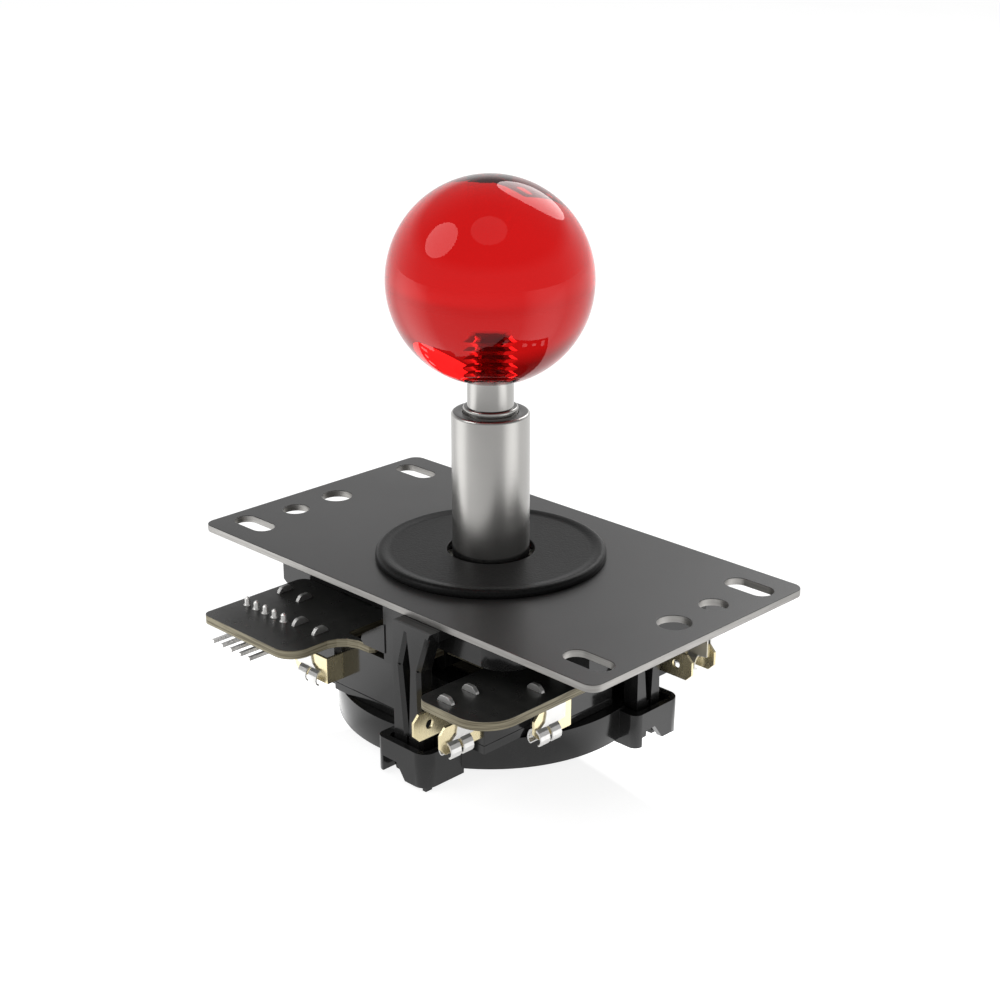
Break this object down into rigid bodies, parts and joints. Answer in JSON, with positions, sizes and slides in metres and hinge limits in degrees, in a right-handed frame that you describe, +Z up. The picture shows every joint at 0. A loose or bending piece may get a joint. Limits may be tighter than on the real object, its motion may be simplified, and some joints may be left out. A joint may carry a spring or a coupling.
{
  "type": "ball-top lever joystick",
  "caption": "Arcade-style lever joystick: red ball on a steel shaft, flat steel fixing plate, moulded housing below with four snap switches, a spring return and a square gate.",
  "frame": {"origin": "on the shaft's axis at the top face of the mounting plate", "axes": "+Z up along the shaft towards the ball, +X along the plate's long side"},
  "size_m": [0.096, 0.0714, 0.0955],
  "materials": {
    "clear_red": "clear tinted acrylic, polished",
    "nickel": "turned steel, nickel plated",
    "nickel_satin": "satin nickel tube",
    "washer_black": "fine-grained matte",
    "plate_black": "satin dark grey coat, bare cut edges",
    "screw_steel": "zinc plated",
    "moulded_black": "moulded, semi-gloss",
    "nylon": "natural nylon",
    "spring_steel": "spring steel",
    "actuator_black": "moulded acetal",
    "board": "black solder mask on glass laminate",
    "tinned": "tin plated",
    "case_gloss": "glossy thermoset",
    "plunger_red": "moulded",
    "brass": "pale brass sheet"
  },
  "bodies": {
    "base": {"dust_washer": "washer_black", "mounting_plate": "plate_black", "plate_screws": "screw_steel", "housing": "moulded_black", "spring_collar": "nylon", "circuit_board": "board", "header_base": "moulded_black", "header_pins": "tinned", "restrictor_gate": "moulded_black", "gate_plate": "moulded_black", "switch_case_a": "case_gloss", "switch_cover_a": "case_gloss", "terminal_com_a": "brass", "terminal_no_a": "brass", "terminal_nc_a": "brass", "clip_com_a": "tinned", "clip_no_a": "tinned", "switch_case_b": "case_gloss", "switch_cover_b": "case_gloss", "terminal_com_b": "brass", "terminal_no_b": "brass", "terminal_nc_b": "brass", "clip_com_b": "tinned", "clip_no_b": "tinned", "switch_case_c": "case_gloss", "switch_cover_c": "case_gloss", "terminal_com_c": "brass", "terminal_no_c": "brass", "terminal_nc_c": "brass", "clip_com_c": "tinned", "clip_no_c": "tinned", "switch_case_d": "case_gloss", "switch_cover_d": "case_gloss", "terminal_com_d": "brass", "terminal_no_d": "brass", "terminal_nc_d": "brass", "clip_com_d": "tinned", "clip_no_d": "tinned"},
    "tilt_ring": {"bearing_ring": "nylon"},
    "stick": {"ball_top": "clear_red", "shaft": "nickel", "shaft_cover": "nickel_satin", "pivot_ball": "nylon", "spring": "spring_steel", "actuator": "actuator_black", "e_clip": "spring_steel"},
    "plunger_body_a": {"plunger_a": "plunger_red"},
    "plunger_body_b": {"plunger_b": "plunger_red"},
    "plunger_body_c": {"plunger_c": "plunger_red"},
    "plunger_body_d": {"plunger_d": "plunger_red"}
  },
  "joints": [
    {"name": "tilt_x", "type": "hinge", "parent": "base", "child": "tilt_ring", "pos_m": [0, 0, -0.0026], "axis": [1, 0, 0], "range_deg": [-7.5, 7.5], "stiffness_Nm_per_rad": 0.35},
    {"name": "tilt_y", "type": "hinge", "parent": "tilt_ring", "child": "stick", "pos_m": [0, 0, -0.0026], "axis": [0, 1, 0], "range_deg": [-7.5, 7.5], "stiffness_Nm_per_rad": 0.35, "deforming": ["spring"]},
    {"name": "plunger_a_slide", "type": "slide", "parent": "base", "child": "plunger_body_a", "axis": [0, 1, 0], "range_m": [-0.00168, 0.00168], "stiffness_N_per_m": 20},
    {"name": "plunger_b_slide", "type": "slide", "parent": "base", "child": "plunger_body_b", "axis": [-1, 0, 0], "range_m": [-0.00168, 0.00168], "stiffness_N_per_m": 20},
    {"name": "plunger_c_slide", "type": "slide", "parent": "base", "child": "plunger_body_c", "axis": [0, 1, 0], "range_m": [-0.00168, 0.00168], "stiffness_N_per_m": 20},
    {"name": "plunger_d_slide", "type": "slide", "parent": "base", "child": "plunger_body_d", "axis": [-1, 0, 0], "range_m": [-0.00168, 0.00168], "stiffness_N_per_m": 20}
  ],
  "couplings": [
    {"joint": "plunger_a_slide", "follows": "tilt_x", "m_per_rad": 0.0127},
    {"joint": "plunger_c_slide", "follows": "tilt_x", "m_per_rad": 0.0127},
    {"joint": "plunger_b_slide", "follows": "tilt_y", "m_per_rad": 0.0127},
    {"joint": "plunger_d_slide", "follows": "tilt_y", "m_per_rad": 0.0127}
  ]
}
